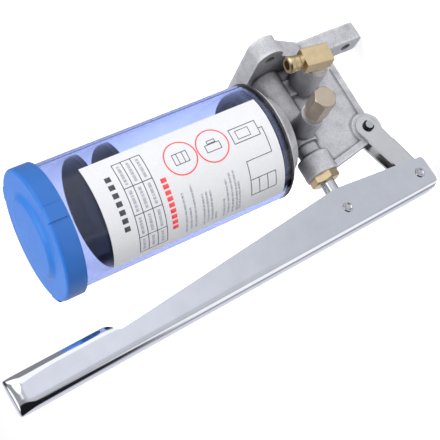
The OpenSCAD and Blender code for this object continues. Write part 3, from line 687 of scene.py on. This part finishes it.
def make_lever(finish):
    """The pressed lever: outer and inner sections carried from toe to grip and joined at their edges."""
    end = LEVER_END
    u = np.concatenate((
        np.linspace(LEVER_FOOT, LEVER_FOOT + TOE_ROUND, 16),
        np.linspace(LEVER_FOOT + TOE_ROUND, -6.0, 16)[1:],
        np.linspace(-6.0, 6.0, 12)[1:],
        np.linspace(6.0, GRIP_START - 4.0, 48)[1:],
        np.linspace(GRIP_START - 4.0, GRIP_START + 12.0, 36)[1:],
        np.linspace(GRIP_START + 12.0, end - GRIP_TAPER, 10)[1:],
        np.linspace(end - GRIP_TAPER, end - 16.0, 30)[1:],
        np.linspace(end - 16.0, end - GRIP_LIP, 40)[1:],
        end - GRIP_LIP + GRIP_LIP * np.sin(np.linspace(0.0, 0.5 * np.pi, 10))[1:],
    ))
    inner_u = LEVER_FOOT + (u - LEVER_FOOT) * (end - LEVER_SHEET - LEVER_FOOT) / (end - LEVER_FOOT)
    outer = lever_points(u, 0.0)
    inner = lever_points(inner_u, LEVER_SHEET)
    rows, columns = outer.shape[:2]
    out = np.arange(rows * columns).reshape(rows, columns)
    inn = out + rows * columns
    faces = grid_faces(out) + grid_faces(inn)
    for edge in (0, -1):
        faces += grid_faces(np.stack((out[:, edge], inn[:, edge]), axis=-1))
    faces += grid_faces(np.stack((out[0], inn[0]), axis=-1))
    faces.append(out[-1].tolist())
    faces.append(inn[-1].tolist())
    faces.append([out[-1, 0], out[-1, -1], inn[-1, -1], inn[-1, 0]])
    corners = np.concatenate((outer.reshape(-1, 3), inner.reshape(-1, 3)))
    piece = shell_piece("pressed_lever", corners, faces, "hand_lever", finish, 35.0)
    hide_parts("lever")


def neighbour_mean(values, edges, count):
    """Mean of each point's neighbours along the mesh's edges."""
    one = edges[:, 0]
    other = edges[:, 1]
    total = np.stack([
        np.bincount(one, values[other, k], count) + np.bincount(other, values[one, k], count)
        for k in range(3)
    ], axis=-1)
    return total / np.bincount(edges.ravel(), minlength=count)[:, None]


def skin_normals(mesh, points):
    """The mesh's point normals once its points are set."""
    mesh.vertices.foreach_set("co", points.ravel())
    mesh.update()
    normals = np.empty(points.size)
    mesh.vertices.foreach_get("normal", normals)
    return normals.reshape(-1, 3)


def make_casting(finish):
    """The body's skin on an even mesh that keeps its edges, with a casting's fillets in the inner corners.

    Each round moves a point half way to the mean of its neighbours, but only where that mean lies well
    outside the skin, so inner corners fill up and edges and bores stay.
    A sum of sine waves along the normals gives the skin its slight unevenness.
    The crease attribute is how far a much smoother skin lies outside this one.
    """
    work = bmesh.new()
    work.from_mesh(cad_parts["pump_body"].data)
    bmesh.ops.remove_doubles(work, verts=work.verts, dist=1e-6)
    solid = bpy.data.meshes.new("casting_solid")
    work.to_mesh(solid)
    work.free()
    holder = bpy.data.objects.new("casting_solid", solid)
    bpy.context.scene.collection.objects.link(holder)
    skin = holder.modifiers.new("skin", "REMESH")
    skin.mode = "SHARP"
    skin.octree_depth = 8
    skin.scale = SKIN_SHARE
    skin.use_remove_disconnected = False
    depsgraph = bpy.context.evaluated_depsgraph_get()
    mesh = bpy.data.meshes.new_from_object(holder.evaluated_get(depsgraph))
    mesh.name = "casting"
    bpy.data.objects.remove(holder)
    bpy.data.meshes.remove(solid)
    count = len(mesh.vertices)
    points = np.empty(count * 3)
    mesh.vertices.foreach_get("co", points)
    points = points.reshape(-1, 3)
    edges = np.empty(len(mesh.edges) * 2, dtype=np.int32)
    mesh.edges.foreach_get("vertices", edges)
    edges = edges.reshape(-1, 2)
    normals = skin_normals(mesh, points)
    for step in range(FILLET_ROUNDS):
        pull = neighbour_mean(points, edges, count) - points
        outward = np.einsum("ij,ij->i", pull, normals)
        points = points + 0.5 * pull * (outward > FILLET_START * MM)[:, None]
        normals = skin_normals(mesh, points)
    chance = np.random.default_rng(5)
    waves = chance.normal(size=(3, 30))
    waves *= chance.uniform(1.0, 2.6, 30) / (3.0 * MM) / np.linalg.norm(waves, axis=0)
    ripple = np.sin(points @ waves + chance.uniform(0.0, 2.0 * np.pi, 30)).sum(axis=1)
    points = points + normals * (ripple * SKIN_RIPPLE * MM)[:, None]
    mesh.vertices.foreach_set("co", points.ravel())
    smooth = points
    for step in range(9):
        smooth = smooth + 0.6 * (neighbour_mean(smooth, edges, count) - smooth)
    crease = np.einsum("ij,ij->i", normals, smooth - points) / (0.25 * MM)
    store = mesh.attributes.new("crease", "FLOAT", "POINT")
    store.data.foreach_set("value", 0.5 + 0.5 * np.clip(crease, -1.0, 1.0))
    mesh.polygons.foreach_set("use_smooth", np.ones(len(mesh.polygons), dtype=bool))
    mesh.set_sharp_from_angle(angle=np.radians(42.0))
    mesh.materials.clear()
    mesh.materials.append(finish)
    mesh.update()
    piece = bpy.data.objects.new("casting", mesh)
    bpy.context.scene.collection.objects.link(piece)
    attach(piece, "housing")
    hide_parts("pump_body")


def make_rim(name, middle, inner, outer, low, high, finish):
    """A faced port rim: a flat ring with rounded corners, its profile turned about an axis along X (mm)."""
    soft = 0.25
    turn = np.linspace(0.0, 0.5 * np.pi, 5)
    corner_x = soft * np.cos(turn)
    corner_r = soft * np.sin(turn)
    x = np.concatenate((high - soft + corner_x, low + soft - corner_x[::-1], low + soft - corner_x,
                        high - soft + corner_x[::-1]))
    r = np.concatenate((outer - soft + corner_r, outer - soft + corner_r[::-1], inner + soft - corner_r,
                        inner + soft - corner_r[::-1]))
    spin = np.linspace(0.0, 2.0 * np.pi, 96, endpoint=False)[:, None]
    y = middle[0] + r * np.cos(spin)
    z = middle[1] + r * np.sin(spin)
    spot = np.stack((x + 0.0 * spin, y, z), axis=-1) * MM
    index = np.arange(spin.size * x.size).reshape(spin.size, x.size)
    index = np.vstack((index, index[:1]))
    index = np.hstack((index, index[:, :1]))
    shell_piece(name, spot.reshape(-1, 3), grid_faces(index), "housing", finish, 40.0)


def make_cap(finish):
    """The cap: a profile turned about the tube's axis, whose wall steps out over three lugs.

    Each profile point has a radius, a height and a share of the lug's step.
    The raised middle falls away in a smooth step.
    Round the cap the lug's step goes smoothly from 0 to full at either side of a lug.
    """
    low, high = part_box("reservoir_cap")
    foot = low[2] / MM
    top = high[2] / MM
    rim = CAP_WALL - CAP_EDGE
    sole = CAP_WALL - CAP_FOOT_EDGE
    quarter = np.linspace(0.0, 0.5 * np.pi, 9)
    slope = np.linspace(*CAP_SHOULDER, 17)
    flat = np.linspace(CAP_SHOULDER[1], rim, 12)[1:-1]
    inner_r = np.array((CAP_BORE, CAP_BORE, CAP_BORE, CAP_BORE / 2.0, 0.0))
    inner_z = np.array((foot, top - 8.0, top - CAP_TOP, top - CAP_TOP, top - CAP_TOP))
    profile = np.hstack((
        (np.array((0.0, 8.0, 16.0)), np.full(3, top + CAP_RISE), np.zeros(3)),
        (slope, top + CAP_RISE * (1.0 - ease(*CAP_SHOULDER, slope)), np.zeros(17)),
        (flat, np.full(10, top), ease(34.0, rim, flat)),
        (rim + CAP_EDGE * np.sin(quarter), top - CAP_EDGE + CAP_EDGE * np.cos(quarter), np.ones(9)),
        (np.full(5, CAP_WALL), np.linspace(top - 3.0, foot + 1.5, 5), np.ones(5)),
        (np.full(3, CAP_WALL), foot + np.array((1.15, 0.95, 0.9)), np.array((0.85, 0.4, 0.0))),
        (sole + CAP_FOOT_EDGE * np.cos(quarter), foot + CAP_FOOT_EDGE * (1.0 - np.sin(quarter)), np.zeros(9)),
        (inner_r, inner_z, np.zeros(5)),
    ))
    lugs = 120.0 * np.arange(3) - CAP_LUG_HALF
    edges = np.concatenate((lugs - CAP_LUG_HALF, lugs + CAP_LUG_HALF))
    sides = (edges[:, None] + np.linspace(-0.9, 0.9, 13)).ravel()
    turn = np.unique(np.concatenate((np.arange(0.0, 360.0, 1.5), np.round(sides % 360.0, 4))))
    off = np.abs((turn[:, None] - lugs + 180.0) % 360.0 - 180.0).min(axis=1)
    step = CAP_LUG * (1.0 - ease(*CAP_LUG_FADE, off))
    reach = profile[0] + step[:, None] * profile[2]
    spin = np.radians(turn)[:, None]
    y = TUBE_AXIS[1] / MM + reach * np.sin(spin)
    spot = np.stack((reach * np.cos(spin), y, profile[1] + 0.0 * spin), axis=-1) * MM
    index = np.arange(reach.size).reshape(reach.shape)
    faces = grid_faces(np.vstack((index, index[:1])))
    piece = shell_piece("moulded_cap", spot.reshape(-1, 3), faces, "cap", finish, 40.0)
    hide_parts("reservoir_cap")


def make_valve_spring(finish):
    """The check valve's spring: a wire's circle carried along a helix about the outlet port's axis.

    Its ends are closed. In the real pump it shortens towards its seat in the elbow as the ball lifts.
    """
    low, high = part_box("check_spring")
    wire = 0.45 * MM
    coil = 2.6 * MM
    middle = (OUTLET_PORT[0] * MM, OUTLET_PORT[1] * MM)
    along = np.linspace(0.0, 1.0, 281)[:, None]
    turn = 14.0 * np.pi * along
    ring = np.linspace(0.0, 2.0 * np.pi, 16, endpoint=False)
    reach = coil + wire * np.cos(ring)
    x = low[0] + wire + (high[0] - low[0] - 2.0 * wire) * along + wire * np.sin(ring)
    spot = np.stack((x, middle[0] + reach * np.cos(turn), middle[1] + reach * np.sin(turn)), axis=-1)
    index = np.arange(x.size).reshape(x.shape)
    faces = grid_faces(np.hstack((index, index[:, :1])))
    faces.append(index[0].tolist())
    faces.append(index[-1].tolist())
    piece = shell_piece("valve_spring", spot.reshape(-1, 3), faces, "housing", finish, 50.0)
    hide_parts("check_spring")
    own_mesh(piece)


# The floor.

def make_floor():
    """A wide pale disc just under the pump: a grid of the angle round it by its radius."""
    round_it = np.linspace(0.0, 2.0 * np.pi, 96, endpoint=False)
    reach = np.linspace(0.02, 4.0, 24)
    spin, out = np.meshgrid(round_it, reach, indexing="ij")
    y = TUBE_AXIS[1] + out * np.sin(spin)
    spot = np.stack((out * np.cos(spin), y, np.full_like(out, FLOOR_HEIGHT)), axis=-1)
    index = np.arange(spin.size).reshape(spin.shape)
    index = np.vstack((index, index[:1]))
    quad = np.stack((index[:-1, :-1], index[:-1, 1:], index[1:, 1:], index[1:, :-1]), axis=-1)
    quad = quad.reshape(-1, 4).tolist()
    quad.append(np.arange(0, spin.size, spin.shape[1]).tolist())
    mesh = bpy.data.meshes.new("floor")
    mesh.from_pydata(spot.reshape(-1, 3), [], quad)
    finish, tree, shader = new_finish("floor_paint", (0.90, 0.90, 0.90), 0.0, 0.8)
    tint(tree, grain(tree, where(tree), 6.0), ((0.3, (0.89, 0.89, 0.89)), (0.7, (0.91, 0.91, 0.91))),
         shader.inputs["Base Color"])
    shader.inputs["Emission Color"].default_value = (1.0, 1.0, 1.0, 1.0)
    shader.inputs["Emission Strength"].default_value = 0.5
    mesh.materials.append(finish)
    floor = bpy.data.objects.new("floor", mesh)
    floor.visible_glossy = False
    bpy.context.scene.collection.objects.link(floor)


bpy.context.scene.view_settings.view_transform = "Standard"
set_camera()
set_room()
set_lamp("top_lamp", 0.25, 1.15, 0.10, 0.7, 5.8)
set_lamp("front_lamp", 0.1, 0.05, 1.22, 0.8, 8.4)
set_lamp("left_lamp", -1.05, 0.1, 0.45, 0.7, 5.0)
set_lamp("end_lamp", -0.95, -0.42, 0.48, 0.5, 16.0)
make_floor()

make_casting(cast_aluminium())
dress(clear_tube(), "reservoir_tube")
dress(black_rubber(), "base_gasket", "spigot_o_ring", "follower", "gland_packing")
dress(label_film(), "label")
make_cap(blue_plastic())
dress(turned_brass("brass", (0.84, 0.66, 0.40), "Y", 0.5 * MM), "gland_nut", "outlet_elbow")
dress(turned_brass("pale_brass", (0.67, 0.575, 0.45), "X", 0.6 * MM), "side_plug")
steel = ground_steel("steel", (0.68, 0.69, 0.71), 0.24)
dress(steel, "gland_washer", "side_plug_washer", "check_ball", "link_pin")
dress(steel, "lever_rivet_link", "lever_rivet_plunger")
make_valve_spring(steel)
dress(ground_steel("polished_rod", (0.74, 0.75, 0.77), 0.12), "plunger_rod")
dress(ground_steel("black_steel", (0.035, 0.035, 0.04), 0.4), "link_circlips")
dress(plated_sheet("link_plating", (0.83, 0.83, 0.82), 0.18), "link")
make_lever(plated_sheet("lever_plating", (0.80, 0.82, 0.86), 0.10))
faced = ground_steel("faced_aluminium", (0.78, 0.78, 0.79), 0.3)
make_rim("side_port_rim", SIDE_PORT, 6.6, 7.8, 27.0, 28.05, faced)
make_rim("outlet_port_rim", OUTLET_PORT, 8.2, 9.55, 29.0, 30.05, faced)
make_print()
